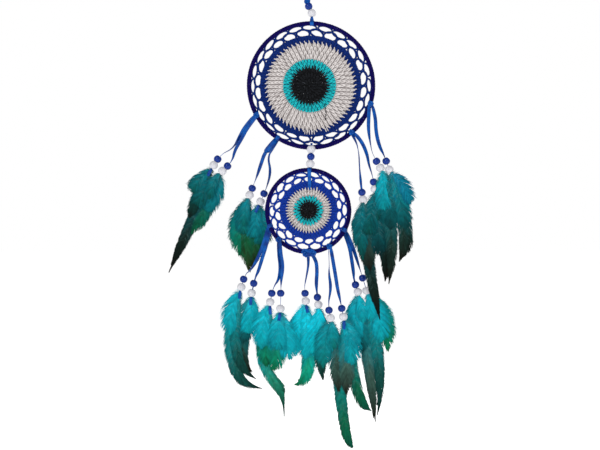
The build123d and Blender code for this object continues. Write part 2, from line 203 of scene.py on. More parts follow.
class Graph:
    """A material and short calls that add nodes to it."""

    def __init__(self, name, **sockets):
        self.material = bpy.data.materials.new(name)
        self.material.use_nodes = True
        self.nodes = self.material.node_tree.nodes
        self.links = self.material.node_tree.links
        self.shader = self.nodes["Principled BSDF"]
        for socket, value in sockets.items():
            self.shader.inputs[socket.replace("_", " ")].default_value = value

    def add(self, kind, output, inputs, **settings):
        node = self.nodes.new(kind)
        for key, value in settings.items():
            setattr(node, key, value)
        for key, value in inputs.items():
            if isinstance(value, bpy.types.NodeSocket):
                self.links.new(value, node.inputs[key])
            else:
                node.inputs[key].default_value = value
        return node.outputs[output]

    def place(self):
        return self.add("ShaderNodeTexCoord", "Object", {})

    def noise(self, scale, detail=2.0, vector=None):
        inputs = {"Vector": vector or self.place(), "Scale": scale, "Detail": detail}
        return self.add("ShaderNodeTexNoise", "Fac", inputs)

    def value(self, name):
        return self.add("ShaderNodeAttribute", "Fac", {}, attribute_name=name)

    def tint(self, name):
        return self.add("ShaderNodeAttribute", "Color", {}, attribute_name=name)

    def math(self, operation, a, b=0.0):
        return self.add("ShaderNodeMath", "Value", {0: a, 1: b}, operation=operation)

    def times(self, a, b):
        return self.math("MULTIPLY", a, b)

    def span(self, value, low, high, to_low=0.0, to_high=1.0):
        inputs = {"Value": value, "From Min": low, "From Max": high,
                  "To Min": to_low, "To Max": to_high}
        return self.add("ShaderNodeMapRange", "Result", inputs)

    def mix(self, share, a, b, blend="MIX"):
        """Blends two colours, each a socket or a hexadecimal code."""
        a, b = (colour(side) if isinstance(side, str) else side for side in (a, b))
        inputs = {"Factor": share, 6: a, 7: b}
        return self.add("ShaderNodeMix", 2, inputs, data_type="RGBA", blend_type=blend)

    def paint(self, value):
        self.links.new(value, self.shader.inputs["Base Color"])

    def rough(self, value):
        self.links.new(value, self.shader.inputs["Roughness"])

    def bump(self, height, strength, depth):
        inputs = {"Height": height, "Strength": strength, "Distance": depth * MM}
        self.links.new(self.add("ShaderNodeBump", "Normal", inputs), self.shader.inputs["Normal"])


def yarn_material(name, light, deep, glint=None):
    """Crochet cotton: fibres, uneven dye, and painted shade that darkens the yarn's flanks and the
    gaps between the strands.
    """
    graph = Graph(name, Roughness=0.85, Sheen_Weight=0.04, Sheen_Roughness=0.5,
                  Specular_IOR_Level=0.08)
    fibres, patches = graph.noise(1500, 4), graph.noise(160)
    # Painted shade from the shade attribute, times uneven dye and fibres: low values take the deep
    # colour.
    depth = graph.times(graph.value("shade"), graph.span(patches, 0.3, 0.7, 0.85, 1.1))
    depth = graph.times(depth, graph.span(fibres, 0.3, 0.7, 0.85, 1.12))
    base = graph.mix(graph.span(depth, 0.15, 0.95), deep, light)
    if glint:
        # Painted glints: pale specks of the glint colour on the dark yarn.
        specks = graph.span(graph.noise(420, 3), 0.66, 0.74)
        base = graph.mix(specks, base, glint)
    graph.paint(base)
    graph.bump(fibres, 0.5, 0.25)
    return graph.material


def wrap_material():
    """Dark velvet-like suede lace, with painted shade in the grooves between its turns and paler
    specks of its nap painted as glints.
    """
    graph = Graph("velvet_lace", Roughness=0.9, Sheen_Weight=0.12, Sheen_Roughness=0.45,
                  Specular_IOR_Level=0.05)
    graph.shader.inputs["Sheen Tint"].default_value = colour("#4a3fd0")
    nap, clouds = graph.noise(1300, 5), graph.noise(90)
    # Painted shade from the shade attribute, times the nap.
    amount = graph.times(graph.value("shade"), graph.span(nap, 0.3, 0.7, 0.7, 1.15))
    base = graph.mix(amount, "#050220", "#100850")
    base = graph.mix(graph.span(clouds, 0.35, 0.7, 0.0, 0.35), base, "#09043c")
    # Painted glints: paler specks of the nap.
    base = graph.mix(graph.span(graph.noise(520, 2), 0.68, 0.74, 0.0, 0.5), base, "#6c6cac")
    graph.paint(base)
    graph.bump(nap, 0.55, 0.3)
    return graph.material


def ribbon_material():
    """Blue satin ribbon: fine ribs across it, darker along its edges, and soft painted light and shade
    where it bends.
    """
    graph = Graph("satin", Roughness=0.36, Specular_IOR_Level=0.16, Anisotropic=0.5)
    along, across = graph.value("along"), graph.value("across")
    ribs = graph.math("SINE", graph.times(along, math.tau / 0.5))
    threads = graph.math("SINE", graph.times(across, math.tau / 0.3))
    # Darker along both edges of the ribbon.
    edge = graph.span(graph.math("ABSOLUTE", across), 1.7, 2.1)
    # Painted light and shade: noise patches between a shaded navy and a highlight blue, where the
    # ribbon bends.
    fold_light_and_shade = graph.noise(150, 2)
    base = graph.mix(graph.span(fold_light_and_shade, 0.32, 0.68), "#04307c", "#0458ae")
    base = graph.mix(graph.times(edge, 0.5), base, "#042460")
    graph.paint(base)
    graph.rough(graph.span(graph.noise(700, 3), 0.3, 0.7, 0.28, 0.42))
    height = graph.math("ADD", ribs, graph.times(threads, 0.4))
    graph.bump(height, 0.25, 0.05)
    return graph.material


def bead_material(name, light, deep, roughness):
    """A lacquered wooden bead: faint grain, small dents and a clear coat."""
    graph = Graph(name, Specular_IOR_Level=0.12, Coat_Weight=0.2, Coat_Roughness=0.12)
    stretch = graph.add("ShaderNodeVectorMath", "Vector", {0: graph.place(), 1: (1, 1, 0.25)},
                        operation="MULTIPLY")
    grain, dents = graph.noise(900, 4, stretch), graph.noise(260, 1)
    base = graph.mix(graph.span(grain, 0.35, 0.65), deep, light)
    graph.paint(base)
    graph.rough(graph.span(dents, 0.3, 0.7, roughness, roughness + 0.18))
    height = graph.math("ADD", graph.times(grain, 0.3), dents)
    graph.bump(height, 0.2, 0.25)
    return graph.material


def feather_material():
    """Dyed feather: the colour runs along each barb."""
    graph = Graph("feather_barbs", Roughness=0.6, Specular_IOR_Level=0.06)
    streaks = graph.span(graph.noise(230, 3), 0.3, 0.7, 0.78, 1.15)
    shade = graph.add("ShaderNodeCombineColor", "Color", {0: streaks, 1: streaks, 2: streaks})
    graph.paint(graph.mix(1.0, graph.tint("tint"), shade, "MULTIPLY"))
    graph.rough(graph.span(graph.noise(480, 2), 0.3, 0.7, 0.42, 0.7))
    graph.bump(graph.noise(2200, 2), 0.3, 0.1)
    return graph.material


def steel_material():
    graph = Graph("steel_wire", Metallic=1.0)
    scratches = graph.noise(800, 4)
    graph.paint(graph.mix(scratches, "#74767a", "#aeb0b4"))
    graph.rough(graph.span(scratches, 0.3, 0.7, 0.25, 0.45))
    return graph.material


SATIN = (ribbon_material(), "satin_ribbon")
VELVET = (wrap_material(), "velvet_wrap")
FEATHER = (feather_material(), "feather")
BLUE_BEAD = bead_material("blue_lacquer", "#0b3590", "#08266e", 0.16)
WHITE_BEAD = bead_material("white_lacquer", "#d8d8dc", "#c0c0c8", 0.22)
# Each yarn: its lit colour, then its deep colour, which painted shade and uneven dye both lead to.
BLACK_YARN = (yarn_material("black_cotton", "#17191d", "#020203", glint="#4a4e56"), "black_yarn")
TURQUOISE_YARN = (yarn_material("turquoise_cotton", "#1cb4ba", "#064c5e"), "turquoise_yarn")
WHITE_YARN = (yarn_material("white_cotton", "#d6d0ce", "#7c7473"), "white_yarn")
NAVY_YARN = (yarn_material("navy_cotton", "#09286e", "#040e3a"), "navy_yarn")
BRIGHT_YARN = (yarn_material("royal_blue_cotton", "#10379a", "#061658"), "navy_yarn")


# ---- places on the hoops

def from_large(x, z):
    return (x, z - LARGE_DROP)


def direction(start, end):
    length = math.dist(start, end)
    return ((end[0] - start[0]) / length, (end[1] - start[1]) / length)


def beyond(place, way, distance):
    return (place[0] + way[0] * distance, place[1] + way[1] * distance)


def polar(centre, radius, angle, depth):
    """Points at these radii, angles in radians and depths round a centre, as arrays."""
    radius, angle, depth = np.broadcast_arrays(radius, angle, depth)
    x = centre[0] + radius * np.cos(angle)
    z = centre[1] + radius * np.sin(angle)
    return np.stack([x, depth, z], axis=-1)


def on_tube(size, angle):
    centre, radius = HOOPS[size]
    return tuple(polar(centre, radius - TUBE_RADIUS, math.radians(angle), 0.0)[[0, 2]])


LACE_WIDTH = 3.1
LACE_ROWS, LACE_COLUMNS = 12, 28      # points along one turn of the lace, and round the tube


def make_wrap(size):
    """Suede lace wound round the ring, each turn lying on the edge of the one before."""
    centre, radius = HOOPS[size]
    reach = radius - TUBE_RADIUS
    turns = round(math.tau * reach / LACE_WIDTH)
    rows, columns = turns * LACE_ROWS, LACE_COLUMNS
    around = np.arange(rows)[:, None] * math.tau / rows
    spin = np.arange(columns)[None] * math.tau / columns
    winding = (turns * around + spin) / math.tau
    phase = winding % 1.0
    random = random_for(size + "_wrap")
    uneven = random.normal(0, 0.035, turns)[winding.astype(int) % turns]
    crown = 1 - np.abs(2 * phase - 1) ** 5
    tube = TUBE_RADIUS - 0.42 + 0.3 * crown + 0.16 * phase + uneven
    ring_reach = reach + tube * np.cos(spin)
    points = polar(centre, ring_reach, around, tube * np.sin(spin))
    shape = Shape()
    # Painted shade: the lace is darker in the groove between turns and lighter on the crown of each
    # turn.
    shape.add(points, grid_quads(rows, columns, True, True), shade=0.25 + 0.75 * crown)
    make_piece(shape, size + "_wrap_lace", VELVET, size + "_hoop", size + "_hoop_wrap")


# ---- crochet

LOOP_POINTS = 13
HOLE_TWISTS = 9                       # turns of the three strands round a hole of the net
# The rounds of an eye drift off the centre of its hoop: a radius, then x and z of the centre there
DRIFT = {
    "large": [(30.0, -1.8, -0.4), (53.0, -0.4, -1.3), (62.0, -0.5, -0.7), (68.0, 0.0, 0.0)],
    "small": [(16.0, 0.4, 0.8), (27.0, 0.6, 0.9), (37.0, 0.6, 1.0), (43.0, 0.1, 0.3)],
}


def around_eye(size, radius, angle, depth):
    """Points at these radii, angles and depths round the drifting centre of an eye."""
    radii, x, z = np.array(DRIFT[size]).T
    points = polar(HOOPS[size][0], radius, angle, depth)
    radius = np.broadcast_to(radius, points.shape[:-1])
    points[..., 0] += np.interp(radius, radii, x)
    points[..., 2] += np.interp(radius, radii, z)
    return points


def stitch_loops(shape, random, size, band, tip_over, point, thickness, face):
    """One round of crochet: each stitch is a loop of yarn that stands on the round before.
    Its foot goes in under that round and its tip lies over the next one. face is 1 for the
    front and -1 for the back."""
    inner, outer, count = band
    foot, tip = inner - 1.2, outer + tip_over
    pitch = math.tau / count
    sweep = np.linspace(-math.pi / 2, math.pi / 2, LOOP_POINTS)
    over = np.sign(np.sin(sweep)) * np.abs(np.sin(sweep)) ** 0.7
    rise = np.cos(sweep).clip(0) ** 0.7
    angle = np.arange(count) * pitch + random.normal(0, 0.05, count) * pitch
    height = (tip - foot) * (1 + random.normal(0, 0.035, count))
    lean = random.normal(0.16 * face, 0.06, count)
    half = 0.25 * pitch
    turn = angle[:, None] + half * over * (1 - point * rise**2) + lean[:, None] * pitch * rise
    depth = -0.9 * face * rise**0.8 + random.normal(0, 0.08, count)[:, None]
    paths = around_eye(size, foot + height[:, None] * rise, turn, depth)
    yarn = thickness * pitch * (inner + outer) / 2
    # Painted shade: each stitch is darker towards its foot, where it goes in under the round before.
    shade_level = 0.62 + 0.38 * smooth(rise, 0.05, 0.6)
    tubes(shape, paths, yarn * (0.85 + 0.15 * rise), shade_level=shade_level)


def inner_strands(shape, size, inner, outer, shade_level):
    """The strands that the stitches are worked over, which show between them. They are drawn darker,
    as painted shade in the gaps between the stitches.
    """
    count = max(2, round((outer - inner) / 1.7))
    angle = np.linspace(0.0, math.tau, 140)
    for number in range(count):
        radius = inner + (number + 0.5) * (outer - inner) / count
        wave = 0.25 * np.sin(angle * round(radius * 1.3) + number)
        path = around_eye(size, radius + wave, angle, wave)[None]
        tubes(shape, path, 0.95, sides=6, ply=0.0, shade_level=shade_level)


def edge_chain(shape, size, radius):
    """The smooth twisted chain that ends the last round."""
    angle = np.arange(360) * math.tau / 360
    for strand in range(2):
        phase = angle * 110 + strand * math.pi
        path = around_eye(size, radius + 0.45 * np.cos(phase), angle, 0.45 * np.sin(phase))[None]
        tubes(shape, path, 0.75, sides=6, closed=True, ply=0.0, shade_level=0.9)


def make_round(size, name, bands, yarn, tip, inside=(0.5, 0.32), thickness=0.235, hollow_shade=0.22,
               edge=None):
    """Rounds of one colour. Each band is (inner radius, outer radius, stitches). tip and inside
    say how far the stitches of the last and of the other bands reach over, and how pointed."""
    shape, random = Shape(), random_for(size + name)
    for number, band in enumerate(bands):
        over, point = tip if number == len(bands) - 1 else inside
        for face in (1, -1):
            stitch_loops(shape, random, size, band, over, point, thickness, face)
    # The inner strands are drawn darker by the given amount: painted shade between the stitches.
    inner_strands(shape, size, max(bands[0][0], 0.6), bands[-1][1], hollow_shade)
    if edge:
        edge_chain(shape, size, edge)
    make_piece(shape, f"{size}_{name}_yarn", yarn, size + "_hoop", f"{size}_{name}")


def hole_rings(shape, random, size, row, count, start):
    """One row of the net: a ring of twisted yarn round each of its holes."""
    middle, half, share, yarn = row
    pitch = math.tau / count
    sweep = np.arange(56) * math.tau / 56
    angle = (np.arange(count) + start) * pitch + random.normal(0, 0.03, count) * pitch
    wide = share * pitch * (1 + random.normal(0, 0.04, count))
    tall = half * (1 + random.normal(0, 0.08, count))
    tilt = random.normal(0, 0.05, count) * half
    radius = middle + tall[:, None] * np.sin(sweep) + tilt[:, None] * np.cos(sweep) * 4
    turn = angle[:, None] + wide[:, None] * np.cos(sweep)
    lines = around_eye(size, radius, turn, random.normal(0, 0.15, count)[:, None])
    ways = unit(np.roll(lines, -1, axis=1) - np.roll(lines, 1, axis=1))
    across = unit(np.cross(ways, (0, 1, 0)))
    for strand in range(3):
        phase = HOLE_TWISTS * sweep + strand * math.tau / 3
        off = across * np.cos(phase)[None, :, None] * 0.8 * yarn
        off = off + np.array([0, 1, 0]) * np.sin(phase)[None, :, None] * 0.8 * yarn
        tubes(shape, lines + off, yarn, sides=6, closed=True, ply=0.0)


def make_net(size, rows, count, yarn):
    """Two staggered rows of holes between the eye and the hoop. A row has the radius of its
    middle, half the height of its rings, their half width as a share of the row, and its yarn."""
    shape, random = Shape(), random_for(size + "_net")
    for number, row in enumerate(rows):
        hole_rings(shape, random, size, row, count, 0.5 * number + 0.55)
    make_piece(shape, size + "_net_yarn", yarn, size + "_hoop", size + "_net")


def radial_strands(name, size, places, reach, radius, yarn=WHITE_YARN):
    """Strands of yarn in front of the white rounds. A place is an angle in degrees, the radius
    where the strand starts, and how many degrees it leans."""
    shape = Shape()
    share = np.linspace(0, 1, 6)
    for angle, start, lean in places:
        turn = np.radians(angle + lean * share)
        path = around_eye(size, start + reach * share, turn, -1.7 - 0.6 * np.sin(math.pi * share))
        tubes(shape, path[None], radius, sides=6, ply=0.0, shade_level=0.95)
    make_piece(shape, name, yarn, size + "_hoop", size + "_white_rounds")


def make_large_eye():
    make_round("large", "pupil", [(1.2, 7.5, 12), (7.5, 14.2, 24), (14.2, 20.6, 36)],
               BLACK_YARN, (3.6, 0.8))
    make_round("large", "iris", [(21.5, 26.0, 36), (26.0, 29.8, 48)],
               TURQUOISE_YARN, (0.4, 0.4), edge=30.4)
    whites = [(31.0, 35.9, 46), (35.9, 40.9, 52), (40.9, 45.8, 58), (45.8, 50.2, 64)]
    make_round("large", "white_rounds", whites, WHITE_YARN, (0.8, 0.5), inside=(0.5, 0.35),
               thickness=0.2, hollow_shade=0.3)
    tips = [(5.625 * k + 0.8, 49.2, 1.6) for k in range(64)]
    radial_strands("large_white_tips", "large", tips, 4.2, 0.62)
    make_round("large", "blue_round", [(51.0, 53.8, 92), (53.8, 56.2, 98), (56.2, 58.2, 104)],
               NAVY_YARN, (0.2, 0.2), inside=(0.4, 0.3), hollow_shade=0.75, edge=58.2)
    make_net("large", [(61.6, 4.3, 0.47, 0.74), (67.7, 3.2, 0.47, 0.66)], 24, NAVY_YARN)
    # Painted shade: short black strands at the join of the white rounds stand for the dark holes
    # there.
    seam = [(-51.0 - 3.2 * k, 27.8 + 3.4 * k, -2.2) for k in range(5)]
    radial_strands("large_seam_shade_strands", "large", seam, 2.0, 0.5, BLACK_YARN)
    ends = [(angle, 50.5, 0.6) for angle in (262.5, 265.0, 268.0, 271.0, 274.0, 288.5, 291.0)]
    radial_strands("large_white_ends", "large", ends, 5.6, 0.55)


def make_small_eye():
    make_round("small", "pupil", [(1.0, 5.4, 10), (5.4, 10.0, 22)],
               BLACK_YARN, (2.6, 0.8))
    make_round("small", "iris", [(10.6, 16.4, 26)],
               TURQUOISE_YARN, (0.8, 0.4))
    make_round("small", "white_rounds", [(17.2, 20.8, 40), (20.8, 24.2, 48)],
               WHITE_YARN, (0.8, 0.5), thickness=0.21, hollow_shade=0.3)
    tips = [(7.5 * k, 23.4, 1.6) for k in range(48)]
    radial_strands("small_white_tips", "small", tips, 3.2, 0.55)
    make_round("small", "blue_round", [(25.4, 28.0, 50), (28.0, 30.4, 56), (30.4, 32.8, 62)],
               BRIGHT_YARN, (0.2, 0.2), inside=(0.4, 0.3), hollow_shade=0.75, edge=32.9)
    make_net("small", [(36.2, 3.8, 0.465, 0.68), (42.2, 3.5, 0.46, 0.64)], 18, BRIGHT_YARN)
    radial_strands("small_yarn_end", "small", [(66.0, 22.5, 4.0)], 6.0, 0.8)


# ---- ribbon ties and knots

def tie_ribbon(shape, size, angle, length, turns):
    """Ribbon wound round the tube of a hoop, side by side along this length of it."""
    centre, radius = HOOPS[size]
    reach = radius - TUBE_RADIUS
    share = np.linspace(-0.5, 0.5, 30 * turns)
    spin = (share + 0.5) * turns * math.tau
    where = math.radians(angle) + share * max(length - 3.2, 0.6) / reach
    height = TUBE_RADIUS + 0.3 + 0.12 * np.sin(3 * spin)
    path = polar(centre, reach + height * np.cos(spin), where, height * np.sin(spin))
    along_hoop = np.stack([-np.sin(where), 0 * where, np.cos(where)], axis=1)
    strip(shape, path, along_hoop, 3.6, thickness=0.3, curl=-0.03)


def ribbon_knot(shape, place, size, squeeze=(1.0, 1.0, 1.0), turn=0.0):
    """A tight knot: one closed band of ribbon that goes over and under itself."""
    t = np.arange(96) * math.tau / 96
    ring = 1 + 0.48 * np.cos(3 * t)
    path = np.stack([ring * np.cos(2 * t + turn), 0.62 * np.sin(3 * t), ring * np.sin(2 * t + turn)],
                    axis=1)
    path = path * size / 1.48 * np.array(squeeze)
    outward = unit(path + 1e-6)
    tubes(shape, (path + np.array(place))[None], 0.42 * size, closed=True, reference=outward,
          ply=0.22)


# ---- tassels

# Every tassel: its hoop, the angle of its tie there, how far behind (+) or in front (-) of the
# hoops its beads and its feathers hang, how pale its feathers are, its tails, and the points of a
# puff of ribbon at its knot, if it has one.
Tassel = namedtuple("Tassel", "hoop angle bead_depth feather_depth tone tails puff", defaults=[()])
# A tail: the bends of its ribbon, its blue bead, its white bead, the ribbon's end, the ribbon's
# turn in degrees at four even steps down to the bead, its feathers, and the dye of a small feather
# that covers the ribbon's end, if it has one. A feather has the places that its quill bends
# towards, the last of them its tip, then its width and its dye.
Tail = namedtuple("Tail", "bends blue white end twist feathers cover", defaults=[None])
TASSELS = {
    "outer_left": Tassel("large", 208.7, -15, -11.8, 0.45, [
        Tail([(-75.5, -46.5), (-83, -60), (-91, -74.5)],
             (-108, -86.6), (-112.6, -93.6), (-119.5, -106), (10, 20, 70, 88),
             [([(-132, -150), (-146, -176), (-164.2, -216.3)], 21, "black"),
              ([(-131, -128), (-141, -153)], 18, "dark"),
              ([(-129, -108), (-137, -124)], 19, "teal")]),
        Tail([(-74, -49.5), (-80.5, -62.5), (-88.5, -76)],
             (-96.6, -94.6), (-102.6, -100.3), (-112, -107), (-15, 5, 20, 80),
             [([(-118, -140), (-138, -172)], 22, "green"),
              ([(-108, -122), (-120, -146)], 24, "bright"),
              ([(-122, -120), (-132, -138)], 24, "teal")], "teal")]),
    "inner_left": Tassel("large", 237.3, 8.5, 13.2, 0.58, [
        Tail([(-46.5, -70), (-54.5, -78.5), (-59, -92.5)],
             (-68.9, -119.7), (-71.9, -127.5), (-75, -140.5), (0, 15, 30, 85),
             [([(-88, -158), (-84, -198)], 24, "green"),
              ([(-80, -165), (-72, -217)], 25, "olive"),
              ([(-80, -145), (-79, -172)], 24, "teal")], "teal"),
        Tail([(-44.5, -72), (-51, -83.5), (-47.1, -99.8)],
             (-55, -126), (-59.1, -135.3), (-65, -148), (20, 70, 40, 85),
             [([(-62, -170), (-69, -210)], 24, "olive"), ([(-56, -160), (-59, -184)], 25, "teal"),
              ([(-66, -150), (-66, -176)], 25, "bright")])],
        [(-39.5, 0, -62), (-44, -3, -66.5), (-49.5, -3.6, -73), (-52.5, -1, -77),
         (-49, 1, -73), (-42, 0.8, -65.5)]),
    "inner_right": Tassel("large", 310.8, -9.5, -11.1, 0.38, [
        Tail([(52, -65), (55.3, -78.5), (55.8, -94.5)],
             (58.9, -124.8), (60.2, -133), (61.2, -147), (20, 80, 70, 20),
             [([(62, -190), (72, -235), (79.5, -271)], 21, "black"),
              ([(62, -175), (68, -214)], 24, "brown"),
              ([(54, -155), (60, -202)], 22, "teal")], "teal"),
        Tail([(57, -62.5), (64.6, -79), (67, -94)],
             (72.4, -112.8), (73.8, -120.9), (76.5, -134), (0, 10, 40, 80),
             [([(84, -165), (92, -195), (86, -226)], 26, "black"),
              ([(78, -160), (78, -196)], 30, "deep"),
              ([(70, -145), (66, -172)], 28, "teal")], "teal")]),
    "outer_right": Tassel("large", 342.6, -13.5, -15.1, 0.68, [
        Tail([(66.8, -36), (66.2, -53), (69, -73)],
             (75.6, -89), (80, -96.6), (87, -107), (0, 10, 60, 88),
             [([(92, -150), (96, -190), (90, -229)], 23, "black"),
              ([(92, -130), (92, -166)], 27, "deep"),
              ([(84, -118), (84, -144)], 24, "bright")], "teal"),
        Tail([(74.6, -36), (75, -54.5), (79.1, -72.3)],
             (86.8, -88.8), (90.4, -98.5), (96, -110.5), (30, 20, 0, 70),
             [([(106, -145), (111, -180), (102.3, -203.5)], 20, "black"),
              ([(104, -132), (109, -166)], 25, "deep"),
              ([(107, -112), (114, -138)], 20, "azure")], "azure")]),
    "low_far_left": Tassel("small", 200.8, 5.5, 8.8, 0.98, [
        Tail([(-54.5, -182), (-62.5, -202.5), (-71, -216)],
             (-78.8, -226.1), (-81.5, -235.3), (-84, -249), (0, 10, 30, 80),
             [([(-104, -300), (-95, -345), (-59, -354)], 22, "dark"),
              ([(-92, -285), (-92, -322), (-66, -342)], 20, "dark"),
              ([(-97, -258), (-95, -290)], 24, "bright")]),
        Tail([(-51.5, -184), (-57, -201), (-61.8, -217)],
             (-67, -231), (-69.4, -242.2), (-70.5, -256.5), (0, 0, 10, 60),
             [([(-78, -290), (-88, -318), (-70, -334)], 20, "black"),
              ([(-76, -262), (-80, -300)], 26, "deep"),
              ([(-68, -262), (-74, -288)], 26, "bright")])]),
    "low_left": Tassel("small", 224.3, -5.5, -2.2, 0.85, [
        Tail([(-38.6, -194.5), (-35.6, -211), (-37.5, -226)],
             (-45.7, -242), (-47.5, -252.2), (-47, -266.5), (60, 40, 30, 75),
             [([(-64, -305), (-60, -345), (-32, -338), (-31.4, -385)], 19, "green_with_painted_sheen"),
              ([(-56, -290), (-52, -326)], 26, "green"),
              ([(-58, -270), (-58, -306)], 25, "bright")]),
        Tail([(-35.8, -194), (-32.6, -210), (-34.8, -225)],
             (-35.3, -242), (-35.6, -259.8), (-37.5, -274), (0, 30, 10, 88),
             [([(-38, -295), (-44, -331)], 31, "green"),
              ([(-32, -285), (-24, -318)], 28, "bright"),
              ([(-40, -280), (-38, -306)], 28, "bright")])]),
    "low_middle": Tassel("small", 271, 5.5, 11.1, 1.4, [
        Tail([(-2.7, -206.5), (-5.2, -221), (-7.3, -231.5)],
             (-7, -242.6), (-6.2, -251.6), (-4, -265.5), (20, 45, 70, 88),
             [([(-2, -295), (4, -340), (-18, -349.6)], 23, "mint"),
              ([(-18, -280), (-18, -314)], 26, "bright"),
              ([(-4, -285), (-6, -318)], 27, "bright")]),
        Tail([(5.6, -202), (7.2, -216), (6, -231)],
             (7.5, -247.2), (8.6, -255.8), (8, -269.5), (0, 5, 0, 40),
             [([(8, -300), (14, -343.5)], 20, "dark"), ([(12, -285), (10, -320)], 27, "teal"),
              ([(6, -280), (2, -312)], 27, "bright")], "bright")]),
    "low_right": Tassel("small", 300.8, -5.5, 0, 0.75, [
        Tail([(21.3, -206), (20.3, -219), (23.2, -235.5)],
             (20.8, -261.7), (22.7, -270.7), (25.5, -284), (88, 85, 30, 75),
             [([(38, -330), (30, -385), (44, -412), (47.6, -420.6)], 21, "emerald"),
              ([(30, -310), (32, -356)], 24, "brown"),
              ([(16, -290), (14, -328)], 24, "teal")], "teal"),
        Tail([(25.4, -204), (28.3, -221), (30.8, -238)],
             (35.6, -259.6), (37.4, -269.3), (38.6, -284), (10, 0, 10, 70),
             [([(46, -325), (54, -365), (69.1, -378.4)], 19, "emerald"),
              ([(42, -315), (41, -359)], 24, "brown"), ([(46, -290), (48, -324)], 27, "bright")])]),
    "low_far_right": Tassel("small", 332, 5.5, 8.8, 0.9, [
        Tail([(44.5, -185), (47.8, -204.5), (49.8, -220)],
             (52, -232.6), (54.7, -241), (58.5, -254), (0, 0, 10, 40),
             [([(62, -290), (72, -345), (75.3, -391.8)], 23, "brown"),
              ([(56, -275), (60, -310)], 28, "deep"),
              ([(50, -265), (52, -300)], 26, "bright")], "bright"),
        Tail([(47, -183.5), (52, -198), (56, -211.5)],
             (60.4, -224.7), (64.9, -239.5), (67.5, -253.5), (10, 0, 30, 80),
             [([(74, -290), (86, -345), (78, -384)], 20, "dark"),
              ([(90, -262), (90, -310)], 25, "green"),
              ([(80, -262), (82, -298)], 28, "bright")], "bright")]),
}


def tail_points(tail, knot, knot_depth, bead_depth):
    """The ribbon's route from the knot through both beads, drifting to the beads' depth."""
    blue, white = from_large(*tail.blue), from_large(*tail.white)
    way = direction(blue, white)
    hanging = [knot] + [from_large(*p) for p in tail.bends]
    threaded = [beyond(blue, way, -BEAD_LEAD), beyond(white, way, BEAD_LEAD)]
    threaded.append(from_large(*tail.end))
    points = []
    for number, (x, z) in enumerate(hanging):
        share = number / len(hanging)
        points.append((x, knot_depth + (bead_depth - knot_depth) * share, z))
    return points + [(x, bead_depth, z) for x, z in threaded]


def smooth_line(points):
    """The NURBS line with these control points, as an array of close points in millimetres."""
    curve = bpy.data.curves.new("route", "CURVE")
    curve.dimensions = "3D"
    spline = curve.splines.new("NURBS")
    spline.points.add(len(points) - 1)
    for control, point in zip(spline.points, points):
        control.co = (*(c * MM for c in point), 1.0)
    spline.order_u = 3
    spline.use_endpoint_u = True
    spline.resolution_u = 16
    route = bpy.data.objects.new("route", curve)
    mesh = bpy.data.meshes.new_from_object(route)
    line = np.array([v.co for v in mesh.vertices]) / MM
    bpy.data.objects.remove(route)
    bpy.data.curves.remove(curve)
    bpy.data.meshes.remove(mesh)
    return line


def run_of(line):
    steps = np.linalg.norm(np.diff(line, axis=0), axis=1)
    return np.concatenate([[0], np.cumsum(steps)])


def turned_across(line, degrees):
    """The ribbon's across direction, turned about its line from facing the front."""
    ways = unit(np.gradient(line, axis=0))
    front = np.array([0.0, -1.0, 0.0])
    front = unit(front - np.sum(ways * front, axis=1, keepdims=True) * ways)
    side = np.cross(ways, front)
    turn = np.radians(degrees)[:, None]
    return np.cos(turn) * side + np.sin(turn) * front


def ribbon(shape, line, degrees, width, curl=0.12):
    """Adds ribbon along a line, turned by these degrees from facing the front."""
    degrees = np.broadcast_to(degrees, len(line))
    strip(shape, line, turned_across(line, degrees), width, curl=curl)


def tail_ribbon(name, number, tail, line, bead_depth):
    """One tail: gathered at the knot and through the beads, flat between them."""
    run = run_of(line)
    blue, white = from_large(*tail.blue), from_large(*tail.white)
    places = [np.array([b[0], bead_depth, b[1]]) for b in (blue, white)]
    at_blue, at_white = (run[np.argmin(np.linalg.norm(line - p, axis=1))] for p in places)
    opening = smooth(run, 0, 7) * (1 - smooth(run, at_blue - 16, at_blue - 5))
    width = GATHERED_WIDTH + (RIBBON_WIDTH - GATHERED_WIDTH) * opening
    width = width + (RIBBON_WIDTH - 2.8) * smooth(run, at_white + 3, at_white + 9)
    twist = np.interp(run, np.linspace(0, at_blue - 5, 4), tail.twist)
    twist = twist * (1 - smooth(run, at_white + 2, at_white + 8))
    twist = twist + 5 * np.sin(run / 7 + 2 * number)
    twist = twist + (35 - 70 * number) * smooth(run, at_white + 3, at_white + 12)
    shape = Shape()
    ribbon(shape, line, twist, width, 0.1)
    piece = make_piece(shape, f"{name}_tail_{number + 1}", SATIN, name, name + "_ribbon")


# ---- feathers

# The colours of a feather from its downy root to its tip
DYES = {
    "bright": ("#06b4c6", "#05a6b6", "#049aa2"),
    "azure": ("#0696b8", "#058eac", "#0488a0"),
    "teal": ("#06a0ae", "#058f96", "#04756f"),
    "green": ("#06a4a8", "#059078", "#04754c"),
    "mint": ("#06b0ba", "#04846c", "#055c3a"),
    "deep": ("#068e9a", "#056f76", "#044a4c"),
    "dark": ("#068a90", "#0c504a", "#0a2a24"),
    # The greyer middle of this dye is painted sheen: the grey-green shine of the feather.
    "green_with_painted_sheen": ("#06a0a4", "#1f8a6e", "#0a3a2c"),
    "emerald": ("#048a8a", "#046e4c", "#045a44"),
    "olive": ("#058f96", "#127a4c", "#34481e"),
    "brown": ("#06929c", "#3e6258", "#242a20"),
    "black": ("#057a80", "#16362f", "#16180f"),
}
BARB_STEPS = 7
BARB_WIDTH, DOWN_WIDTH = 0.36, 0.15   # half widths of a barb of the web and of the down
LAYER_STEP = 1.1                      # from one feather of a bunch to the next in front of it
DOWN_COLOUR = "#7fa4a0"


def bezier(points, t):
    """The smooth quill line that starts at the first point, ends at the last and leans to the rest."""
    points = np.array(points, float)
    degree = len(points) - 1
    weights = [math.comb(degree, k) * t**k * (1 - t) ** (degree - k) for k in range(degree + 1)]
    return np.stack(weights, axis=1) @ points


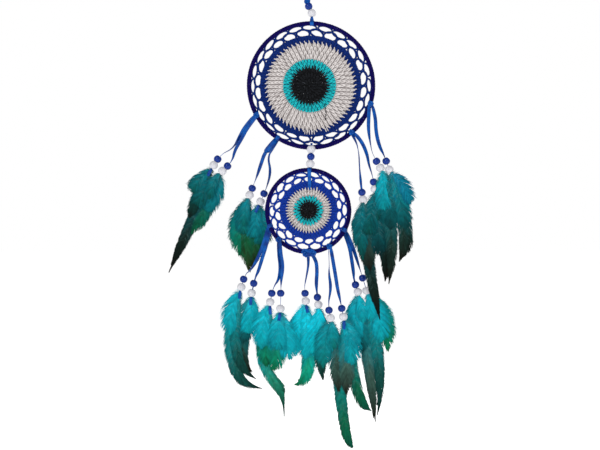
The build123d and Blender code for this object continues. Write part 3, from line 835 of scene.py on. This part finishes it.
def barbs(shape, random, line, starts, lengths, angles, sign, width, colours, droop, wave):
    """Barbs on one side of a quill, each a narrow strip that curves towards the tip."""
    run = np.linspace(0, 1, len(line))
    ways = unit(np.gradient(line, axis=0))
    root = np.stack([np.interp(starts, run, line[:, k]) for k in range(3)], axis=1)
    way = unit(np.stack([np.interp(starts, run, ways[:, k]) for k in range(3)], axis=1))
    side = np.cross(way, (0, 1, 0)) * sign
    steps = np.linspace(0, 1, BARB_STEPS + 1)
    count = len(starts)
    bend = angles[:, None] * (1 - 0.45 * steps[None] ** 1.5)
    bend = bend + wave * np.sin(steps[None] * 7 + random.uniform(0, 6, count)[:, None]) * steps[None]
    heading = np.cos(bend)[..., None] * way[:, None] + np.sin(bend)[..., None] * side[:, None]
    moves = heading[:, :-1] * (lengths / BARB_STEPS)[:, None, None]
    place = np.concatenate([np.zeros((count, 1, 3)), np.cumsum(moves, axis=1)], axis=1)
    place = place + root[:, None]
    lift = random.normal(0, 0.25, count)[:, None] * steps**2 + 1.1 * steps**2
    place[..., 1] += lift + 0.7 * droop[:, None] * steps**2
    across = unit(np.cross(heading, (0, 1, 0)))
    taper = (width * (1 - 0.75 * steps**2))[:, None]
    edges = np.stack([place - across * taper, place + across * taper], axis=2)
    quads = grid_quads(BARB_STEPS + 1, 2)
    vary = 1 + random.normal(0, 0.07, count)[:, None, None]
    tint = colours[:, None] * vary * (1 - 0.18 * steps[None, :, None])
    tint = np.repeat(tint[:, :, None], 2, axis=2)
    tint = np.concatenate([tint, np.ones_like(tint[..., :1])], axis=-1)
    shape.add(edges, repeated(quads, count, (BARB_STEPS + 1) * 2), tint=tint)


def make_feather(shape, random, quill, width, dye, depth, tone):
    """One feather: a quill, webs of close barbs with a few splits, and down at its root. tone
    makes its dye paler or deeper."""
    t = np.linspace(0, 1, 60)
    flat = bezier(quill, t)
    length = run_of(flat)[-1]
    sag = depth + 1.6 * np.sin(math.pi * t) * random.uniform(0.3, 1.0)
    line = np.stack([flat[:, 0], sag, flat[:, 1]], axis=1)
    colours = np.array([colour(code)[:3] for code in DYES[dye]]) * tone

    def dyed(starts):
        stations = [0.25, 0.6, 0.95]
        return np.stack([np.interp(starts, stations, colours[:, k]) for k in range(3)], axis=1)

    half = width / 2
    strap = float(smooth(length, 80, 115))
    for sign in (-1, 1):
        count = int(length / 0.3)
        starts = np.sort(random.uniform(0.08, 0.995, count))
        profile = np.clip((starts - 0.02) / 0.26, 0, 1) ** 0.6
        profile = profile * (1 - smooth(starts, 0.55 + 0.05 * strap, 1.1))
        clumps = random.normal(0, 0.014 * (1 - 0.7 * strap), 24)[(starts * 23).astype(int)]
        split = random.uniform(0.35, 0.95)
        clumps = clumps - 0.12 * np.exp(-((starts - split) / 0.015) ** 2)
        angles = 0.8 - (0.4 + 0.15 * strap) * starts - 0.1 * strap + clumps
        lengths = half * profile * 1.5 * (1 + random.normal(0, 0.07, count)) + 1.0
        streaks = np.interp(starts, np.linspace(0, 1, 32), random.normal(1, 0.13, 32))
        barbs(shape, random, line, starts, lengths, angles, sign, BARB_WIDTH,
              dyed(starts) * streaks[:, None], 0.4 * clumps + 0.1, 0.06)
        count = int(length * 1.3)
        starts = random.uniform(0.04, 0.75, count) ** 1.3
        reach = np.clip(0.45 + 2.5 * starts, 0, 1) * (1.05 - 0.45 * starts)
        lengths = half * reach * random.uniform(0.55, 1.15, count)
        angles = random.normal(1.1, 0.2, count) - 0.4 * starts
        down = dyed(starts) * 0.85 + np.array(colour(DOWN_COLOUR)[:3]) * 0.15
        barbs(shape, random, line, starts, lengths, angles, sign, DOWN_WIDTH,
              down, random.normal(0, 1.0, count), 0.35)
    quill_tube(shape, line, 0.3 * (1 - 0.8 * t), dyed(t) * 0.8)


def quill_tube(shape, line, radius, colours, sides=6):
    ways = unit(np.gradient(line, axis=0))
    side = unit(np.cross(ways, (0, 1, 0)))
    up = np.cross(side, ways)
    turn = np.arange(sides) * math.tau / sides
    ring = np.cos(turn)[:, None] * side[:, None] + np.sin(turn)[:, None] * up[:, None]
    points = line[:, None] + ring * radius[:, None, None]
    tint = np.repeat(np.concatenate([colours, np.ones((len(line), 1))], axis=1)[:, None], sides, 1)
    shape.add(points, grid_quads(len(line), sides, close_columns=True), tint=tint)


def make_bunch(name, tassel):
    """All feathers of a tassel, the longest at the back. Each has a shorter one behind it."""
    shape, random = Shape(), random_for(name + "_feathers")
    for number, tail in enumerate(tassel.tails):
        way = direction(tail.blue, tail.white)
        root = from_large(*beyond(tail.white, way, 3.5))
        back = tassel.feather_depth - 0.3 * number
        for layer, (bends, width, dye) in enumerate(tail.feathers):
            quill = [root] + [from_large(*place) for place in bends]
            depth = back - LAYER_STEP * layer
            shade = tassel.tone * random.uniform(0.85, 1.1)
            make_feather(shape, random, quill, width, dye, depth, shade)
            nudge = random.normal(0, 2.2, (len(quill) - 1, 2))
            shorter = [root] + [tuple(p + n) for p, n in zip(np.array(quill[1:]), nudge)]
            tip = np.array(shorter[-1])
            shorter[-1] = tuple(tip + (np.array(shorter[-2]) - tip) * random.uniform(0.1, 0.3))
            # The shorter feather behind is drawn at 0.8 of the brightness: painted shade of the
            # feather in front.
            make_feather(shape, random, shorter, width * 0.9, dye, depth + 0.8, 0.8 * shade)
        if tail.cover:
            down = unit(np.array(way) + (0, -1))
            quill = [root, beyond(root, way, 12), beyond(root, down, 32)]
            make_feather(shape, random, quill, 15, tail.cover, tassel.bead_depth - 2.6, tassel.tone)
    make_piece(shape, name + "_plumes", FEATHER, name, name + "_feathers")


def make_tassel(name, tassel):
    """The tails of a tassel with their feathers, and the knot on its hoop."""
    knot = on_tube(tassel.hoop, tassel.angle)
    depth = tassel.bead_depth
    side = math.copysign(1, depth)
    knot_depth = side * (TUBE_RADIUS + TIE_THICKNESS + KNOT_GAP + KNOT_LENGTH / 2)
    for number, tail in enumerate(tassel.tails):
        start = (knot[0] + (2 * number - 1) * TAIL_SPREAD, knot[1])
        line = smooth_line(tail_points(tail, start, knot_depth, depth))
        tail_ribbon(name, number, tail, line, depth)
    shape = Shape()
    ribbon_knot(shape, (knot[0], knot_depth, knot[1]), 2.7, turn=random_for(name).uniform(0, 3))
    if tassel.puff:
        line = smooth_line([(x, knot_depth + out, z - LARGE_DROP) for x, out, z in tassel.puff])
        ribbon(shape, line, 8.0, 6.4, 0.16)
    make_piece(shape, name + "_knot", SATIN, name, name + "_ribbon")
    make_bunch(name, tassel)


# ---- hanger and link

HANGER_LOOP = [
    (-5.6, -66.0), (-9.6, -52.0), (-11.0, -34.0), (-9.6, -14.0), (-6.0, 1.0),
    (6.0, 1.0), (9.8, -13.0), (10.6, -33.0), (5.0, -50.0), (-2.9, -64.5),
]
HANGER_KNOT = (-4.6, 98.5)
HANGER_WHITE, HANGER_BLUE = (1.0, 84.4), (-2.7, 92.3)
HANGER_X = 1.0


def make_hanger():
    """The loop over the nail, its knot, and the ribbon through the two beads."""
    line = smooth_line([(x, 0.0, z) for x, z in HANGER_LOOP])
    run = run_of(line)
    opening = smooth(run, 0, 9) * (1 - smooth(run, run[-1] - 9, run[-1]))
    width = LOOP_END_WIDTH + (RIBBON_WIDTH - LOOP_END_WIDTH) * opening
    flat = 1 - smooth(np.abs(run - run[-1] / 2), 8, 30)
    twist = 25 * np.sin(run / 16) * (1 - flat) + 90 * flat
    shape = Shape()
    ribbon(shape, line, twist, width)
    piece = make_piece(shape, "hanger_loop", SATIN, "hanger", "hanger_ribbon")

    knot, white, blue = from_large(*HANGER_KNOT), from_large(*HANGER_WHITE), from_large(*HANGER_BLUE)
    shape = Shape()
    ribbon_knot(shape, (knot[0], 0, knot[1]), 2.8, squeeze=(1, 0.9, 1.1))
    make_piece(shape, "hanger_knot", SATIN, "hanger", "hanger_ribbon")
    low = [(HANGER_X, 0, white[1] - 0.9), (HANGER_X - 0.6, 0, white[1] + 4.2)]
    low += [(blue[0], 0, blue[1]), (knot[0] - 0.3, 0, knot[1])]
    shape = Shape()
    ribbon(shape, smooth_line(low), 15.0, GATHERED_WIDTH, 0.25)
    make_piece(shape, "hanger_lower_ribbon", SATIN, "hanger", "hanger_ribbon")


def make_hanger_tie():
    """Ribbon round the hoop's top, and its gathered end up into the white bead."""
    shape = Shape()
    angle = math.degrees(math.acos(HANGER_X / (LARGE_RADIUS - TUBE_RADIUS)))
    tie_ribbon(shape, "large", angle, TIE_LENGTH, 2)
    top = -LARGE_DROP + LARGE_RADIUS
    neck = [(HANGER_X, -0.4, top - 1.0), (HANGER_X + 0.2, -0.5, top + 2.5),
            (HANGER_X, -0.1, top + 5.0), (HANGER_X, 0, top + 7.5)]
    line = smooth_line(neck)
    ribbon(shape, line, np.linspace(10, 60, len(line)), np.linspace(5.0, 2.4, len(line)), 0.3)
    make_piece(shape, "hanger_tie_ribbon", SATIN, "hanger_tie", "hanger_tie")


# The link's ribbon and beads hang in front of the hoops, and the ribbon ends short of both ties
LINK_RIBBON = [(0.4, -67.6), (0.0, -74.9), (-0.4, -83.4), (-0.9, -91.3), (-1.1, -96.0)]
LINK_DEPTH = -8.7
LINK_ANGLES = {"large": 270.0, "small": 88.0}
# The loose end of the ribbon on the small hoop's front, as (x, depth, z)
FRONT_END = [(-2.2, -3.4, -99.0), (-2.0, -2.6, -103.5), (-2.0, -1.9, -110.0),
             (-1.8, -1.8, -117.0), (-2.2, -2.0, -122.0)]


def make_link():
    shape = Shape()
    line = smooth_line([(x, LINK_DEPTH, z - LARGE_DROP) for x, z in LINK_RIBBON])
    ribbon(shape, line, 20.0, GATHERED_WIDTH, 0.25)
    make_piece(shape, "link_satin", SATIN, "link", "link_ribbon")


def front_of_small_hoop(shape):
    """The loose end of the link's ribbon, and low_middle's two knots."""
    line = smooth_line([(x, y, z - LARGE_DROP) for x, y, z in FRONT_END])
    ribbon(shape, line, np.linspace(0, 12, len(line)), RIBBON_WIDTH)
    x, z = on_tube("small", TASSELS["low_middle"].angle)
    ribbon_knot(shape, (x - 3.0, -3.6, z - 0.6), 3.6, squeeze=(1.3, 0.5, 1.1), turn=0.4)
    ribbon_knot(shape, (x + 3.4, -3.4, z - 0.8), 3.2, squeeze=(1.3, 0.5, 1.1), turn=1.7)


def make_ties():
    """The ribbon ties on both hoops."""
    for size, link_angle in LINK_ANGLES.items():
        shape = Shape()
        tie_ribbon(shape, size, link_angle, TIE_LENGTH, 2)
        for name, tassel in TASSELS.items():
            if tassel.hoop == size:
                length, turns = (WIDE_TIE_LENGTH, 4) if name == "low_middle" else (TIE_LENGTH, 2)
                tie_ribbon(shape, size, tassel.angle, length, turns)
        if size == "small":
            front_of_small_hoop(shape)
        make_piece(shape, size + "_tie_ribbons", SATIN, size + "_hoop", size + "_ties")


def finish_beads():
    """The turned beads and the steel rings keep their CAD shapes and get their materials."""
    steel = steel_material()
    for name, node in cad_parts.items():
        if "bead" in name:
            material = WHITE_BEAD if "white" in name else BLUE_BEAD
        elif name.endswith("hoop_ring"):
            material = steel
        else:
            continue
        node.data.materials.clear()
        node.data.materials.append(material)


# ---- studio

VIEW_CENTRE = (-12.9, -327.7)         # what the camera looks at, as (x, z)
VIEW_WIDTH = 699.6
LENS, SENSOR = 85.0, 36.0
SKY_LIGHT = 0.40                      # the white room's light on the object
FLOOR_DROP = -0.74                    # the floor's height, in metres


def make_camera():
    camera = bpy.data.cameras.new("camera")
    camera.lens, camera.sensor_width = LENS, SENSOR
    eye = bpy.data.objects.new("camera", camera)
    eye.location = (VIEW_CENTRE[0] * MM, -VIEW_WIDTH * MM * LENS / SENSOR, VIEW_CENTRE[1] * MM)
    eye.rotation_euler = (math.radians(90), 0, 0)
    bpy.context.collection.objects.link(eye)
    bpy.context.scene.camera = eye


def make_light(name, place, size, power):
    light = bpy.data.lights.new(name, "AREA")
    light.size, light.energy = size, power
    lamp = bpy.data.objects.new(name, light)
    lamp.location = place
    aim = Vector((0, 0, VIEW_CENTRE[1] * MM)) - Vector(place)
    lamp.rotation_euler = aim.to_track_quat("-Z", "Y").to_euler()
    bpy.context.collection.objects.link(lamp)


def make_world():
    """White all round. The camera sees it pure white, and the object gets a softer share."""
    world = bpy.data.worlds.new("studio")
    world.use_nodes = True
    nodes, links = world.node_tree.nodes, world.node_tree.links
    ray = nodes.new("ShaderNodeLightPath")
    strength = nodes.new("ShaderNodeMapRange")
    strength.inputs["To Min"].default_value = SKY_LIGHT
    strength.inputs["To Max"].default_value = 1.0
    links.new(ray.outputs["Is Camera Ray"], strength.inputs["Value"])
    background = nodes["Background"]
    background.inputs["Color"].default_value = (1, 1, 1, 1)
    links.new(strength.outputs["Result"], background.inputs["Strength"])
    bpy.context.scene.world = world
    bpy.context.scene.view_settings.view_transform = "Standard"


def make_studio():
    graph = Graph("pale_floor", Roughness=0.9, Specular_IOR_Level=0.1)
    graph.paint(graph.mix(graph.noise(3), "#f4f4f4", "#fbfbfb"))
    graph.shader.inputs["Emission Color"].default_value = (1, 1, 1, 1)
    graph.shader.inputs["Emission Strength"].default_value = 0.66
    bpy.ops.mesh.primitive_plane_add(size=40, location=(0, 0, FLOOR_DROP))
    floor = bpy.context.object
    floor.name = "floor"
    floor.data.materials.append(graph.material)
    make_light("key", (-1.2, -1.9, 0.8), 0.8, 24)
    make_light("fill", (1.6, -1.4, -0.3), 1.2, 7)
    make_light("back", (0.8, 1.8, 0.6), 1.2, 14)
    make_world()


make_camera()
for tassel_name, tassel_facts in TASSELS.items():
    make_tassel(tassel_name, tassel_facts)
make_hanger()
make_hanger_tie()
make_link()
make_ties()
for hoop_size in HOOPS:
    make_wrap(hoop_size)
make_large_eye()
make_small_eye()
finish_beads()
make_studio()
